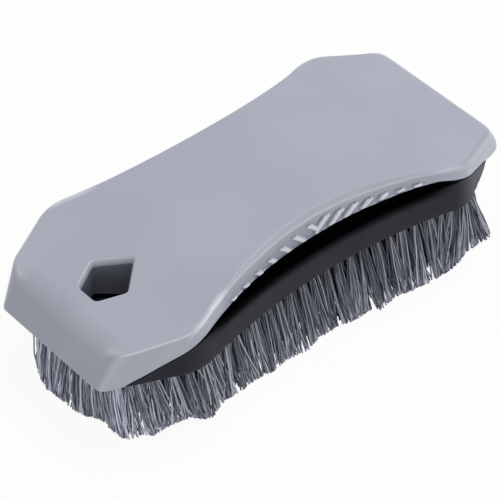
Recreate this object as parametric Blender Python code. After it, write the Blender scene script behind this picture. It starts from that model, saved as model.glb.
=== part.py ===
"""A hand carpet brush: an arched handle shell on a block that carries rows of bristle tufts.

The brush stands on its bristle tips. The origin is on the floor under its middle, +X runs
along its length towards the end without the hang hole, and +Z is up.
"""

import math
import random

import bmesh
import bpy
import numpy as np

# Heights, each from the underside of the block but for the first
TRIM_HEIGHT = 0.026  # floor to the underside of the block, the bristles' free length
BAND_HEIGHT = 0.0115  # the crease at the top of the block's side band
RIM_HEIGHT = 0.013  # the shell's rim beside the waist
CROWN_HEIGHT = 0.0246  # the shell's top face at the middle
END_HEIGHT = 0.0133  # the shell's top face at its two ends

# Plan, each from the middle of the brush but for those that say otherwise
RIM_REACH = 0.0833  # the shell's rim at its two ends
END_DRAFT = 0.0062  # how far the end walls lean in from the rim to the top face
TOP_REACH = RIM_REACH - END_DRAFT
END_STRETCH = 0.0286  # from the widest corners to the ends
WIDEST_AT = RIM_REACH - END_STRETCH
WIDEST_HALF = 0.037
END_HALF = 0.0238  # half the width of the end walls at the rim
RIM_WAIST = 0.0258  # half the shell's width at the waist
BAND_WAIST = 0.0297  # half the block's width at the waist
SIDE_DRAFT = 0.0002  # how far the side walls lean in from rim to top
WIDE_BEND = 0.006  # start of the round from each widest corner
END_BEND = 0.0034  # the same at the end corners

# Handle shell
SHELL_WALL = 0.0024
EDGE_ROUND = 0.0024  # start of the round from the top's side edges
END_ROUND = 0.0036  # the same at the end edges
INNER_CHAMFER = 0.0012
ARCH_SHARE = 1.64  # how much of the arch's fall is quadratic, the rest being quartic
RIM_FOOT = 0.0071  # length of the rim at each end that lies level with the block's underside
RIM_LANDS_AT = RIM_REACH - RIM_FOOT
RIM_FALL_SHARE = 0.58  # fall of the rim towards there, per unit of length
RIM_EASE = 0.003  # height over which level rim and falling rim blend

# Finger grip on the shell's two side walls
GRIP_AT = 0.0017  # middle of the pattern along the brush
GRIP_CLEAR = 0.0087  # from the ends of the sunk band behind the ribs to the widest corners
GRIP_REACH = WIDEST_AT - GRIP_CLEAR
GRIP_SINK = 0.0005
GRIP_PITCH = 0.0062
GRIP_FIRST = 0.0049  # foot of the first short rib from the middle
GRIP_RISE = 0.0062  # height of the middle ribs
GRIP_RISE_SHARES = (1.0, 0.86, 0.76, 0.66, 0.56, 0.48, 0.42)
GRIP_WIDTH = 0.0016
GRIP_PROUD = 0.0002
GRIP_ROOT = 0.0012  # depth of the ribs' roots in the wall
GRIP_FOOT = 0.0008  # foot of the ribs above the rim
GRIP_FADE_SHARE = 0.25  # stretch at each end of the sunk band over which it fades out
GRIP_WALL_SHARES = ((0.04, 0.0), (0.1, 1.0), (0.82, 1.0), (0.94, 0.0))  # wall height, depth

# Hang hole, a pentagon that points to the middle, and the sleeve round it
HOLE_INSET = 0.0151  # from the rim's end to the hole's base
HOLE_LENGTH = 0.0186  # from its base to its tip
HOLE_WIDE_LENGTH = 0.0088  # from its base to its widest place
HOLE_BASE_AT = HOLE_INSET - RIM_REACH
HOLE_WIDE_AT = HOLE_BASE_AT + HOLE_WIDE_LENGTH
HOLE_TIP_AT = HOLE_BASE_AT + HOLE_LENGTH
HOLE_WIDE_HALF = 0.0088
HOLE_BASE_HALF = 0.0042
HOLE_CORNER = 0.0012
HOLE_FLARE = 0.0012
SLEEVE_WALL = 0.0018
SLEEVE_FOOT = 0.0046  # foot of the sleeve above the underside of the block

# Posts under the shell and the sockets on the block that they plug into
POST_AT = 0.03
POST_SIDE = 0.012
POST_RADIUS = 0.0032
SOCKET_WALL = 0.0018
SOCKET_HEIGHT = 0.004

# Block
LIP = 0.0022  # wall round the pocket for the tuft strips
POCKET_BEND = 0.004
POCKET_DEPTH = 0.0023
SLAB_TOP = 0.0075
CREASE_CHAMFER = 0.0012
GROOVE_DIP = 0.003  # how far the finger groove's floor lies under the crease
GROOVE_SHARE = 0.6  # how far in the groove's floor lies, from the crease to the shell's rim
RIB_RISE = 0.0026  # locating rib above the shell's rim, inside the shell
RIB_WALL = 0.002
LEDGE_STEP = 0.00015  # least width of the ledge that the rim sits over
SEAT_GAP = 0.0003

# Tuft strips
ROW_COUNT = 31
TUFT_PITCH = 0.0044
FIELD_INSET = 0.0048  # outermost tufts from the block's side
FIELD_END_HALF = 0.0205
FIELD_BEND = 0.01
ROOT_HALF = 0.0008
TIP_HALF = 0.0011
ROOT_SINK = 0.001
TIP_CUT = 0.0005  # how much of the longest tufts the level trim took off
TIP_UNEVEN = 0.0022
LEAN_JITTER = 0.0006
TUFT_TWIST = math.radians(20)
SIDE_FAN = 0.0078  # how far the outermost tips stand out past their roots at the waist
WIDE_FAN = 0.005  # the same beside the widest corners
END_FAN = 0.0055  # the same at the two ends
END_LEAN = 0.0032  # how far the tips of the end rows stand out past their roots, along the brush

# Fineness of the curves, the cuts' overrun and the seed of the tufts' unevenness
WAIST_STEPS = 12
BEND_STEPS = 5
SLANT_STEPS = 9
ROUND_STEPS = 4
CORNER_STEPS = 2
FLARE_STEPS = 3
POST_SIDES = 12
SHARP_ANGLE = math.radians(32)
OVERRUN = 0.004
SEED = 7


def clear_scene():
    for obj in list(bpy.data.objects):
        bpy.data.objects.remove(obj, do_unlink=True)


def make_material(name, colour, roughness):
    material = bpy.data.materials.new(name)
    material.use_nodes = True
    shader = material.node_tree.nodes["Principled BSDF"]
    shader.inputs["Base Color"].default_value = (*colour, 1.0)
    shader.inputs["Roughness"].default_value = roughness
    shader.inputs["Metallic"].default_value = 0.0
    return material


def add_object(name, mesh, material, parent=None):
    obj = bpy.data.objects.new(name, mesh)
    bpy.context.collection.objects.link(obj)
    obj.parent = parent
    if material:
        mesh.materials.append(material)
    return obj


def add_boolean(obj, cutter, operation):
    """Joins or cuts with a helper that is left out of renders."""
    cutter.parent = obj.parent
    cutter.location = obj.location
    cutter.hide_render = True
    cutter.display_type = "WIRE"
    modifier = obj.modifiers.new(cutter.name, "BOOLEAN")
    modifier.operation = operation
    modifier.solver = "EXACT"
    modifier.object = cutter


def ease(value):
    """A smooth step from 0 to 1."""
    value = np.clip(value, 0.0, 1.0)
    return value * value * (3.0 - 2.0 * value)


# Plan curves


def bend(start, corner, end, steps):
    """A quadratic curve from start to end that the corner pulls on."""
    t = np.linspace(0.0, 1.0, steps + 1)[:, None]
    return (1 - t) ** 2 * start + 2 * t * (1 - t) * corner + t * t * end


def quarter_plan(reach, waist, widest_half, end_half, end_bend=END_BEND):
    """One quarter of a plan, from the waist to the end's corner, as rows of x and half width."""
    along = np.linspace(0.0, WIDEST_AT - WIDE_BEND, WAIST_STEPS + 1)
    side = np.stack([along, waist + (widest_half - waist) * (along / WIDEST_AT) ** 2], 1)
    corner = np.array([WIDEST_AT, widest_half])
    end_corner = np.array([reach, end_half])
    slant = (end_corner - corner) / np.linalg.norm(end_corner - corner)
    wide = bend(side[-1], corner, corner + WIDE_BEND * slant, BEND_STEPS)
    end = bend(
        end_corner - end_bend * slant, end_corner, end_corner - (0.0, end_bend), BEND_STEPS
    )
    along = np.linspace(0.0, 1.0, SLANT_STEPS + 1)[1:-1, None]
    slanted = wide[-1] * (1 - along) + end[0] * along
    return np.concatenate([side, wide[1:], slanted, end])


def full_plan(quarter):
    """The closed plan, counter-clockwise from the middle of the -Y side."""
    x, y = quarter.T
    near = np.stack([x, -y], 1)
    far = np.stack([x, y], 1)[::-1]
    mirror = np.array([-1.0, 1.0])
    return np.concatenate([near, far, (far[::-1] * mirror)[1:], (near[1:] * mirror)[::-1]])


def inset(plan, distance):
    """The plan moved in along its mitred normals, by one distance or by one for each point."""
    edge = np.roll(plan, -1, 0) - plan
    normal = np.stack([edge[:, 1], -edge[:, 0]], 1)
    normal /= np.linalg.norm(normal, axis=1)[:, None]
    before = np.roll(normal, 1, 0)
    mitre = (before + normal) / (1 + (before * normal).sum(1))[:, None]
    return plan - np.broadcast_to(distance, len(plan))[:, None] * mitre


def half_width_at(plan, x):
    """Half the plan's width at x, read from its -Y side."""
    side = plan[plan[:, 1] < 0]
    side = side[np.argsort(side[:, 0])]
    return np.interp(x, side[:, 0], -side[:, 1])


def crown(x):
    """Height of the shell's top face."""
    s = (np.abs(x) / TOP_REACH) ** 2
    fall = ARCH_SHARE * s - (ARCH_SHARE - 1) * s * s
    return TRIM_HEIGHT + CROWN_HEIGHT - (CROWN_HEIGHT - END_HEIGHT) * fall


def rim(x):
    """Height of the shell's rim: level beside the waist, then falling to the block's underside."""
    fall = RIM_FALL_SHARE * (RIM_LANDS_AT - np.abs(x))
    blend = np.clip(0.5 + 0.5 * (fall - RIM_HEIGHT) / RIM_EASE, 0, 1)
    lower = fall * (1 - blend) + RIM_HEIGHT * blend - RIM_EASE * blend * (1 - blend)
    return TRIM_HEIGHT + np.maximum(lower, 0.0)


def slant_half(reach):
    """Half width, at a reach, of the slanted side between the widest corner and the end."""
    return WIDEST_HALF - (WIDEST_HALF - END_HALF) * (reach - WIDEST_AT) / (RIM_REACH - WIDEST_AT)


RIM_PLAN = full_plan(quarter_plan(RIM_REACH, RIM_WAIST, WIDEST_HALF, END_HALF))
TOP_PLAN = full_plan(
    quarter_plan(
        TOP_REACH,
        RIM_WAIST - SIDE_DRAFT,
        WIDEST_HALF - SIDE_DRAFT,
        slant_half(TOP_REACH) - SIDE_DRAFT,
    )
)
BAND_PLAN = full_plan(quarter_plan(RIM_REACH, BAND_WAIST, WIDEST_HALF, END_HALF))
POCKET_REACH = RIM_REACH - SHELL_WALL - SEAT_GAP - LIP
POCKET_PLAN = full_plan(
    quarter_plan(
        POCKET_REACH,
        BAND_WAIST - LIP,
        WIDEST_HALF - LIP,
        slant_half(POCKET_REACH + SHELL_WALL) - SHELL_WALL - LIP,
        POCKET_BEND,
    )
)
STRIP_PLAN = full_plan(
    quarter_plan(
        POCKET_REACH - SEAT_GAP,
        BAND_WAIST - LIP - SEAT_GAP,
        WIDEST_HALF - LIP - SEAT_GAP,
        slant_half(POCKET_REACH + SHELL_WALL) - SHELL_WALL - LIP - SEAT_GAP,
        POCKET_BEND,
    )
)
RIM_LEVEL = rim(RIM_PLAN[:, 0])
TOP_LEVEL = crown(TOP_PLAN[:, 0])


def wall_plan(level, depth):
    """The side wall's plan at a height, moved in by a depth."""
    share = np.clip((level - RIM_LEVEL) / (TOP_LEVEL - RIM_LEVEL), 0, 1)[:, None]
    return inset(RIM_PLAN + share * (TOP_PLAN - RIM_PLAN), depth)


# Meshes


def ring(plan, level):
    return np.column_stack([plan, np.broadcast_to(level, len(plan))])


def cap_pairs():
    """Indices of the plan's -Y points in order of x, and of the +Y points across from them."""
    n = (len(RIM_PLAN) + 2) // 4
    near = [3 * n - 1 + i for i in range(n - 1)] + list(range(n))
    far = [3 * n - 2 - i for i in range(n - 1)] + [2 * n - 1 - i for i in range(n)]
    return near, far


def loft(name, rings):
    """A closed mesh through rings of equal count, its first ring capped facing down, its last up."""
    mesh = bmesh.new()
    rows = [[mesh.verts.new(point) for point in points] for points in rings]
    for lower, upper in zip(rows, rows[1:]):
        for i, vert in enumerate(lower):
            j = (i + 1) % len(lower)
            mesh.faces.new((vert, lower[j], upper[j], upper[i]))
    near, far = cap_pairs()
    for a, b, c, d in zip(near, near[1:], far[1:], far):
        mesh.faces.new([rows[-1][i] for i in (a, b, c, d)])
        mesh.faces.new([rows[0][i] for i in (d, c, b, a)])
    return finish_mesh(name, mesh)


def finish_mesh(name, mesh):
    bmesh.ops.recalc_face_normals(mesh, faces=mesh.faces)
    data = bpy.data.meshes.new(name)
    mesh.to_mesh(data)
    mesh.free()
    data.shade_smooth()
    data.set_sharp_from_angle(angle=SHARP_ANGLE)
    return data


def add_prism(mesh, lower, upper):
    """A closed prism between two rings of points, added to a bmesh."""
    low = [mesh.verts.new(point) for point in lower]
    high = [mesh.verts.new(point) for point in upper]
    for i, vert in enumerate(low):
        j = (i + 1) % len(low)
        mesh.faces.new((vert, low[j], high[j], high[i]))
    mesh.faces.new(low[::-1])
    mesh.faces.new(high)


def prism_object(name, outline, levels):
    """A helper: an upright prism with one outline for each level, or the same one for all."""
    mesh = bmesh.new()
    rings = [ring(plan, level) for plan, level in zip(outline, levels)]
    rows = [[mesh.verts.new(point) for point in points] for points in rings]
    for lower, upper in zip(rows, rows[1:]):
        for i, vert in enumerate(lower):
            j = (i + 1) % len(lower)
            mesh.faces.new((vert, lower[j], upper[j], upper[i]))
    mesh.faces.new(rows[0][::-1])
    mesh.faces.new(rows[-1])
    return add_object(name, finish_mesh(name, mesh), None)


def hole_plan(offset=0.0):
    """The hang hole's pentagon with bent corners, moved out by an offset."""
    corners = np.array(
        [
            (HOLE_TIP_AT, 0.0),
            (HOLE_WIDE_AT, HOLE_WIDE_HALF),
            (HOLE_BASE_AT, HOLE_BASE_HALF),
            (HOLE_BASE_AT, -HOLE_BASE_HALF),
            (HOLE_WIDE_AT, -HOLE_WIDE_HALF),
        ]
    )
    points = []
    for i, corner in enumerate(corners):
        before = corners[i - 1] - corner
        after = corners[(i + 1) % len(corners)] - corner
        start = corner + HOLE_CORNER * before / np.linalg.norm(before)
        end = corner + HOLE_CORNER * after / np.linalg.norm(after)
        points.extend(bend(start, corner, end, CORNER_STEPS))
    return inset(np.array(points), -offset)


def round_plan(x, y, radius):
    turn = np.linspace(0.0, 2 * math.pi, POST_SIDES, endpoint=False)
    return np.stack([x + radius * np.cos(turn), y + radius * np.sin(turn)], 1)


# Handle shell


def shell_edge_rings():
    """The rings of the round between side wall and top face."""
    end_share = np.clip((np.abs(TOP_PLAN[:, 0]) - WIDEST_AT) / (TOP_REACH - WIDEST_AT), 0, 1)
    size = EDGE_ROUND + (END_ROUND - EDGE_ROUND) * end_share
    edge = ring(TOP_PLAN, TOP_LEVEL)
    fall = ring(RIM_PLAN, RIM_LEVEL) - edge
    wall = edge + fall * (size / np.linalg.norm(fall, axis=1))[:, None]
    top_plan = inset(TOP_PLAN, size)
    top = ring(top_plan, crown(top_plan[:, 0]))
    for t in np.linspace(0.0, 1.0, ROUND_STEPS + 1):
        yield (1 - t) ** 2 * wall + 2 * t * (1 - t) * edge + t * t * top


def grip_sink(plan):
    """Depth of the sunk grip band along the side walls."""
    away = np.abs(plan[:, 0] - GRIP_AT) / GRIP_REACH
    return GRIP_SINK * ease((1 - away) / GRIP_FADE_SHARE)


def shell_rings():
    """From the top of the hollow down its wall, round the rim and up the outside."""
    under = TOP_LEVEL - SHELL_WALL
    yield ring(wall_plan(under, SHELL_WALL + INNER_CHAMFER), under)
    yield ring(wall_plan(under - INNER_CHAMFER, SHELL_WALL), under - INNER_CHAMFER)
    yield ring(inset(RIM_PLAN, SHELL_WALL), RIM_LEVEL)
    yield ring(RIM_PLAN, RIM_LEVEL)
    edge = list(shell_edge_rings())
    sink = grip_sink(RIM_PLAN)
    for share, depth in GRIP_WALL_SHARES:
        wall = ring(RIM_PLAN, RIM_LEVEL) * (1 - share) + edge[0] * share
        wall[:, :2] = inset(wall[:, :2], sink * depth)
        yield wall
    yield from edge


def grip_ribs():
    """The ribs on both side walls: a V at the middle and short ribs that shrink away from it."""
    mesh = bmesh.new()
    for side in (-1, 1):
        for way in (-1, 1):
            for i, share in enumerate(GRIP_RISE_SHARES):
                foot = GRIP_FIRST + GRIP_PITCH * (i - 1) if i else GRIP_WIDTH / 2
                add_rib(mesh, side, way, foot, GRIP_RISE * share)
    return add_object("grip_ribs", finish_mesh("grip_ribs", mesh), None)


def add_rib(mesh, side, way, foot, rise):
    """One rib, leaning away from the middle at 45 degrees, rooted in the side wall."""
    x = GRIP_AT + way * np.array([foot, foot + rise, foot + rise, foot])
    half = GRIP_WIDTH / 2
    x += way * half * np.array([1, 1, -1, -1]) * math.sqrt(0.5)
    z = rim(x[0]) + GRIP_FOOT + np.array([0.0, rise, rise, 0.0])
    z += half * np.array([-1, -1, 1, 1]) * math.sqrt(0.5)
    width = half_width_at(RIM_PLAN, x)
    inner = np.stack([x, side * (width - GRIP_ROOT), z], 1)
    outer = np.stack([x, side * (width + GRIP_PROUD), z], 1)
    add_prism(mesh, inner, outer)


def build_shell(material, parent):
    shell = add_object("handle_shell", loft("handle_shell", shell_rings()), material, parent)
    add_boolean(shell, grip_ribs(), "UNION")
    sleeve = [hole_plan(SLEEVE_WALL)] * 2
    sleeve_top = crown(HOLE_BASE_AT) - SHELL_WALL / 2
    levels = (TRIM_HEIGHT + SLEEVE_FOOT, sleeve_top)
    add_boolean(shell, prism_object("sleeve_body", sleeve, levels), "UNION")
    for x in (-POST_AT, POST_AT):
        for y in (-POST_SIDE, POST_SIDE):
            levels = (TRIM_HEIGHT + SLAB_TOP + SEAT_GAP, crown(x + POST_RADIUS) - SHELL_WALL / 2)
            post = prism_object("post_body", [round_plan(x, y, POST_RADIUS)] * 2, levels)
            add_boolean(shell, post, "UNION")
    outline = hole_plan()
    above = crown(outline[:, 0])
    plans = [outline, outline]
    heights = [np.full(len(outline), TRIM_HEIGHT), above - HOLE_FLARE]
    for step in range(1, FLARE_STEPS + 1):
        turn = math.pi / 2 * step / FLARE_STEPS
        plans.append(inset(outline, -HOLE_FLARE * (1 - math.cos(turn))))
        heights.append(above - HOLE_FLARE * (1 - math.sin(turn)))
    plans.append(plans[-1])
    heights.append(above + OVERRUN)
    add_boolean(shell, prism_object("hole_cut", plans, heights), "DIFFERENCE")


# Block


def block_rings():
    """From the pocket's floor round the lip, up the side band, over the finger groove to the
    ledge under the shell's rim, and over the locating rib down to the slab's top."""
    ledge = np.maximum(RIM_LEVEL - SEAT_GAP, TRIM_HEIGHT)
    crease = np.minimum(TRIM_HEIGHT + BAND_HEIGHT, ledge)
    depth = np.linalg.norm(BAND_PLAN - RIM_PLAN, axis=1)
    open_share = depth / depth.max()
    chamfer = CREASE_CHAMFER * open_share
    shelf = inset(RIM_PLAN, LEDGE_STEP)
    crease_plan = inset(BAND_PLAN, chamfer + LEDGE_STEP / 2)
    groove = crease_plan + (shelf - crease_plan) * GROOVE_SHARE
    seat = wall_plan(ledge, SHELL_WALL + SEAT_GAP)
    steps = (
        (BAND_PLAN, TRIM_HEIGHT),
        (BAND_PLAN, crease - chamfer - LEDGE_STEP),
        (crease_plan, crease),
        (groove, crease - GROOVE_DIP * open_share),
        (shelf, ledge),
        (seat, ledge),
    )
    covered = 1 - ease((RIM_LEVEL - TRIM_HEIGHT - len(steps) * SEAT_GAP) / RIM_EASE)
    rings = []
    for i, (plan, level) in enumerate(steps):
        level = np.maximum(level, TRIM_HEIGHT + i * SEAT_GAP * covered)
        hidden = wall_plan(level, SHELL_WALL + SEAT_GAP)
        rings.append(ring(plan + (hidden - plan) * covered[:, None], level))
    rib_top = np.minimum(
        np.maximum(ledge, TRIM_HEIGHT + SLAB_TOP) + RIB_RISE,
        TOP_LEVEL - SHELL_WALL - INNER_CHAMFER - SEAT_GAP,
    )
    rib_plan = wall_plan(rib_top, SHELL_WALL + SEAT_GAP)
    rib_inner = inset(rib_plan, RIB_WALL)
    rings.append(ring(rib_plan, rib_top))
    rings.append(ring(rib_inner, rib_top))
    rings.append(ring(rib_inner, TRIM_HEIGHT + SLAB_TOP))
    mouth = [ring(POCKET_PLAN, TRIM_HEIGHT + POCKET_DEPTH), ring(POCKET_PLAN, TRIM_HEIGHT)]
    return mouth + rings


def build_block(material, parent):
    block = add_object("brush_block", loft("brush_block", block_rings()), material, parent)
    boss_levels = (TRIM_HEIGHT, TRIM_HEIGHT + POCKET_DEPTH + SEAT_GAP)
    boss = prism_object("hole_boss", [hole_plan(LIP)] * 2, boss_levels)
    add_boolean(block, boss, "UNION")
    slab = TRIM_HEIGHT + SLAB_TOP
    for x in (-POST_AT, POST_AT):
        for y in (-POST_SIDE, POST_SIDE):
            add_socket(block, x, y, slab)
    levels = (TRIM_HEIGHT - OVERRUN, slab + OVERRUN)
    through = prism_object("hang_cut", [hole_plan()] * 2, levels)
    add_boolean(block, through, "DIFFERENCE")
    levels = (TRIM_HEIGHT + SLEEVE_FOOT - SEAT_GAP, slab + OVERRUN)
    seat = prism_object("sleeve_cut", [hole_plan(SLEEVE_WALL + SEAT_GAP)] * 2, levels)
    add_boolean(block, seat, "DIFFERENCE")


def add_socket(block, x, y, slab):
    """An open ring on the slab that takes the end of a post."""
    bore = round_plan(x, y, POST_RADIUS + SEAT_GAP)
    wall = round_plan(x, y, POST_RADIUS + SEAT_GAP + SOCKET_WALL)
    top = slab + SOCKET_HEIGHT
    body = prism_object("socket_body", [wall] * 2, (slab - SOCKET_WALL, top))
    add_boolean(block, body, "UNION")
    cut = prism_object("socket_cut", [bore] * 2, (slab, top + OVERRUN))
    add_boolean(block, cut, "DIFFERENCE")


# Tuft rows


def boss_half(start, end):
    """Half width of the hang hole's boss between two places along the brush, or 0."""
    outline = hole_plan(LIP + SEAT_GAP)
    edge = np.roll(outline, -1, 0) - outline
    shares = np.linspace(0.0, 1.0, SLANT_STEPS, endpoint=False)
    points = np.concatenate([outline + edge * share for share in shares])
    inside = (points[:, 0] > start - SEAT_GAP) & (points[:, 0] < end + SEAT_GAP)
    return np.abs(points[inside, 1]).max() + SEAT_GAP if inside.any() else 0.0


def strip(mesh, x_edges, sides):
    """The slice of backing between the pocket's walls, from one side's widths to the other's."""
    outline = [
        (x_edges[0], sides[0][0]),
        (x_edges[1], sides[0][1]),
        (x_edges[1], sides[1][1]),
        (x_edges[0], sides[1][0]),
    ]
    top = POCKET_DEPTH - SEAT_GAP
    add_prism(mesh, [(*point, 0.0) for point in outline], [(*point, top) for point in outline])


def tuft_places(low, high):
    """Evenly spaced places of the tufts across a row, the outermost at its two limits."""
    count = max(2, round((high - low) / TUFT_PITCH) + 1)
    return np.linspace(low, high, count)


def fan(x, y, half):
    """Where a tip stands for a root at x, y, in a row whose outermost root is at half."""
    wide = np.interp(abs(x), (0.0, WIDEST_AT, RIM_REACH), (SIDE_FAN, WIDE_FAN, END_FAN))
    tip_x = x + END_LEAN * math.copysign((abs(x) / RIM_REACH) ** 2, x)
    tip_y = y + wide * math.copysign((abs(y) / half) ** 2, y)
    return tip_x, tip_y


def square(x, y, half, turn, level):
    """A square of points about a centre, turned in plan."""
    reach = half * math.sqrt(2)
    angles = [turn + math.pi / 4 + i * math.pi / 2 for i in range(4)]
    return [(x + reach * math.cos(a), y + reach * math.sin(a), level) for a in angles]


def add_tuft(mesh, row_x, y, half):
    """One tuft, a four-sided strand from inside the strip to its tip, in the row's own frame."""
    tip_x, tip_y = fan(row_x, y, half)
    tip_x += random.uniform(-LEAN_JITTER, LEAN_JITTER) - row_x
    tip_y += random.uniform(-LEAN_JITTER, LEAN_JITTER)
    length = min(TRIM_HEIGHT, TRIM_HEIGHT + TIP_CUT - random.uniform(0.0, TIP_UNEVEN))
    turn = random.uniform(-TUFT_TWIST, TUFT_TWIST)
    root = square(0.0, y, ROOT_HALF, turn, ROOT_SINK)
    tip = square(tip_x, tip_y, TIP_HALF, turn, -length)
    add_prism(mesh, tip, root)


def build_row(name, row_x, pitch, field, limits, material, parent):
    """A strip of the block's backing with its row of tufts, on one side of a gap or right across."""
    edges = (-(pitch - SEAT_GAP) / 2, (pitch - SEAT_GAP) / 2)
    width = half_width_at(STRIP_PLAN, row_x + np.array(edges))
    gap, side = limits
    low = width * 0 + gap if side > 0 else -width
    high = width * 0 - gap if side < 0 else width
    body = bmesh.new()
    strip(body, edges, (low, high))
    half = min(half_width_at(field, row_x), width.min() - 2 * ROOT_HALF)
    margin = gap + (FIELD_INSET - LIP) / 2
    places = tuft_places(margin if side > 0 else -half, -margin if side < 0 else half)
    tufts = bmesh.new()
    for y in places:
        add_tuft(tufts, row_x, y, half)
    row = add_object(name, finish_mesh(name, body), material, parent)
    row.location = (row_x, 0.0, TRIM_HEIGHT)
    strands = add_object(name + "_strands", finish_mesh(name + "_strands", tufts), None)
    add_boolean(row, strands, "UNION")


def build_rows(material, parent):
    reach = POCKET_REACH - SEAT_GAP / 2
    pitch = 2 * reach / ROW_COUNT
    field_wide = WIDEST_HALF - FIELD_INSET
    field_waist = BAND_WAIST - FIELD_INSET
    field = full_plan(quarter_plan(reach, field_waist, field_wide, FIELD_END_HALF, FIELD_BEND))
    for i in range(ROW_COUNT):
        row_x = -reach + pitch * (i + 0.5)
        gap = boss_half(row_x - pitch / 2, row_x + pitch / 2)
        name = f"tuft_row_{i + 1:02d}"
        sides = (("_right", -1), ("_left", 1)) if gap else (("", 0),)
        for suffix, side in sides:
            build_row(name + suffix, row_x, pitch, field, (gap, side), material, parent)


def main():
    clear_scene()
    random.seed(SEED)
    grey = make_material("shell_plastic", (0.392, 0.418, 0.485), 0.42)
    black = make_material("block_plastic", (0.026, 0.027, 0.033), 0.45)
    bristle = make_material("bristle_nylon", (0.141, 0.15, 0.181), 0.5)
    brush = bpy.data.objects.new("carpet_brush", None)
    bpy.context.collection.objects.link(brush)
    build_shell(grey, brush)
    build_block(black, brush)
    build_rows(bristle, brush)


main()
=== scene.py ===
# %% [markdown]
# This file dresses a hand carpet brush: a grey moulded handle shell, a black block under it, and
# a few hundred tufts of stiff blue-grey filament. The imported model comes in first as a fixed
# frame. Every new piece below stands for one of its nodes and keeps to that node's place.

# %% Load the frame and keep its box
import math

import bmesh
import bpy
import numpy as np
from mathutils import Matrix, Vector


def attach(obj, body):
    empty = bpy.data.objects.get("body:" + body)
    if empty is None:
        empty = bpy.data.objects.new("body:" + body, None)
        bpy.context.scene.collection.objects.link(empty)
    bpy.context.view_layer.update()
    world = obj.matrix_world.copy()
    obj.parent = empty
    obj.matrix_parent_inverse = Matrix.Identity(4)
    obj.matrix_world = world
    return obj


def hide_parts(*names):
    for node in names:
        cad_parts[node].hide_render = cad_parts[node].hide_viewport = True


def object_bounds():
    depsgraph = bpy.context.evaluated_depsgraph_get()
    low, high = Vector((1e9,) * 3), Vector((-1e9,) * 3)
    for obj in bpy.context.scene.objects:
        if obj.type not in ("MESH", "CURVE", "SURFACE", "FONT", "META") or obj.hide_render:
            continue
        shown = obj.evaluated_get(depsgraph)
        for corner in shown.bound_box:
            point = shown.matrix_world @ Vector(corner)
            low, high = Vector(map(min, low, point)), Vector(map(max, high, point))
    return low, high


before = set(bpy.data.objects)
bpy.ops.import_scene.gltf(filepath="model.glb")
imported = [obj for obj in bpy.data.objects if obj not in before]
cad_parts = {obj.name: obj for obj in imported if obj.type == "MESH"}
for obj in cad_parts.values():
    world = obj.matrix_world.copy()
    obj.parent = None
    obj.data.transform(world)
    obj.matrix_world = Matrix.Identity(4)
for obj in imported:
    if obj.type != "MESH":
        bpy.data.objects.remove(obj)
cad_low, cad_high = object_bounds()
BODY = "root"
print("nodes:", len(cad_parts), "box:", [round(v, 4) for v in (*cad_low, *cad_high)])

# %% [markdown]
# The camera stands at the photograph's viewing angle. Its place and lens come from fitting the
# brush's outline, so the picture's perspective is the photograph's own. A long lens from about
# 0.83 m away gives the mild convergence of a product picture.

# %% Camera
CAMERA_PLACE = (-0.40137, -0.45639, 0.59921)
CAMERA_AZIMUTH = -41.1032
CAMERA_ELEVATION = 43.8648
CAMERA_LENS = 190.381
CAMERA_SENSOR = 36.0


def add_object(name, data):
    """A new object in the scene."""
    item = bpy.data.objects.new(name, data)
    bpy.context.collection.objects.link(item)
    return item


def direction(azimuth, elevation):
    """The unit vector towards an azimuth, counted from -Y, and an elevation, both in degrees."""
    turn, lift = math.radians(azimuth), math.radians(elevation)
    flat = math.cos(lift)
    return Vector((math.sin(turn) * flat, -math.cos(turn) * flat, math.sin(lift)))


camera = add_object("camera", bpy.data.cameras.new("camera"))
camera.location = CAMERA_PLACE
back = direction(CAMERA_AZIMUTH, CAMERA_ELEVATION)
camera.rotation_euler = (-back).to_track_quat("-Z", "Y").to_euler()
camera.data.lens = CAMERA_LENS
camera.data.sensor_width = CAMERA_SENSOR
bpy.context.scene.camera = camera
print("camera looks along", [round(-v, 3) for v in back])

# %% [markdown]
# The sizes repeat the ones that the frame was built from, in metres. Heights are counted from
# the underside of the block, which lies one bristle length above the floor. The real top sags a
# little towards the hang hole, and the real rim wanders off its plain line, as thin mouldings do
# when they cool. The frame has neither. Both are read off the photograph: the sag is one
# easing, and the rim is a table of (place, shift) pairs. All tables here are in millimetres. A
# pair whose name ends in RISE holds where an easing starts and how long it is.

# %% Sizes of the two mouldings
TRIM_HEIGHT = 0.026
BAND_HEIGHT = 0.0115
RIM_HEIGHT = 0.013
CROWN_HEIGHT = 0.0246
END_HEIGHT = 0.0133
RIM_REACH = 0.0833
TOP_REACH = 0.0771
WIDEST_AT = 0.0547
WIDEST_HALF = 0.037
END_HALF = 0.0238
RIM_WAIST = 0.0258
BAND_WAIST = 0.0297
SIDE_DRAFT = 0.0002
WIDE_BEND = 0.006
END_BEND = 0.0024
TOP_FAR_BEND = 0.0037
TOP_NEAR_BEND = 0.0046
SHELL_WALL = 0.0024
SEAT_GAP = 0.0003
ARCH_SHARE = 1.64
NEAR_SAG = 0.0005
SAG_RISE = (0.03, 0.022)
RIM_LANDS_AT = 0.0762
RIM_FALL_SHARE = 0.58
RIM_EASE = 0.003
RIM_SHIFTS = (
    (-78, 0), (-76, 0.4), (-74, 0.4), (-71, 0), (-66, -0.2), (-57, -0.9), (-54, -0.9), (-41, -0.1),
    (-28, 0.4), (-5, 0.4), (5, 0.45), (15, 0.8), (24, 0.8), (34, 1.2), (41, 1.2), (46, 1.0), (51.5, -0.3),
    (55, -0.5), (59, -0.2), (62, 0.4), (66, 1.0), (70, 1.8), (74, 2.0), (76, 2.0), (78, 1.4), (80, 0.8),
    (83.3, 0),
)
MM = 0.001


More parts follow.
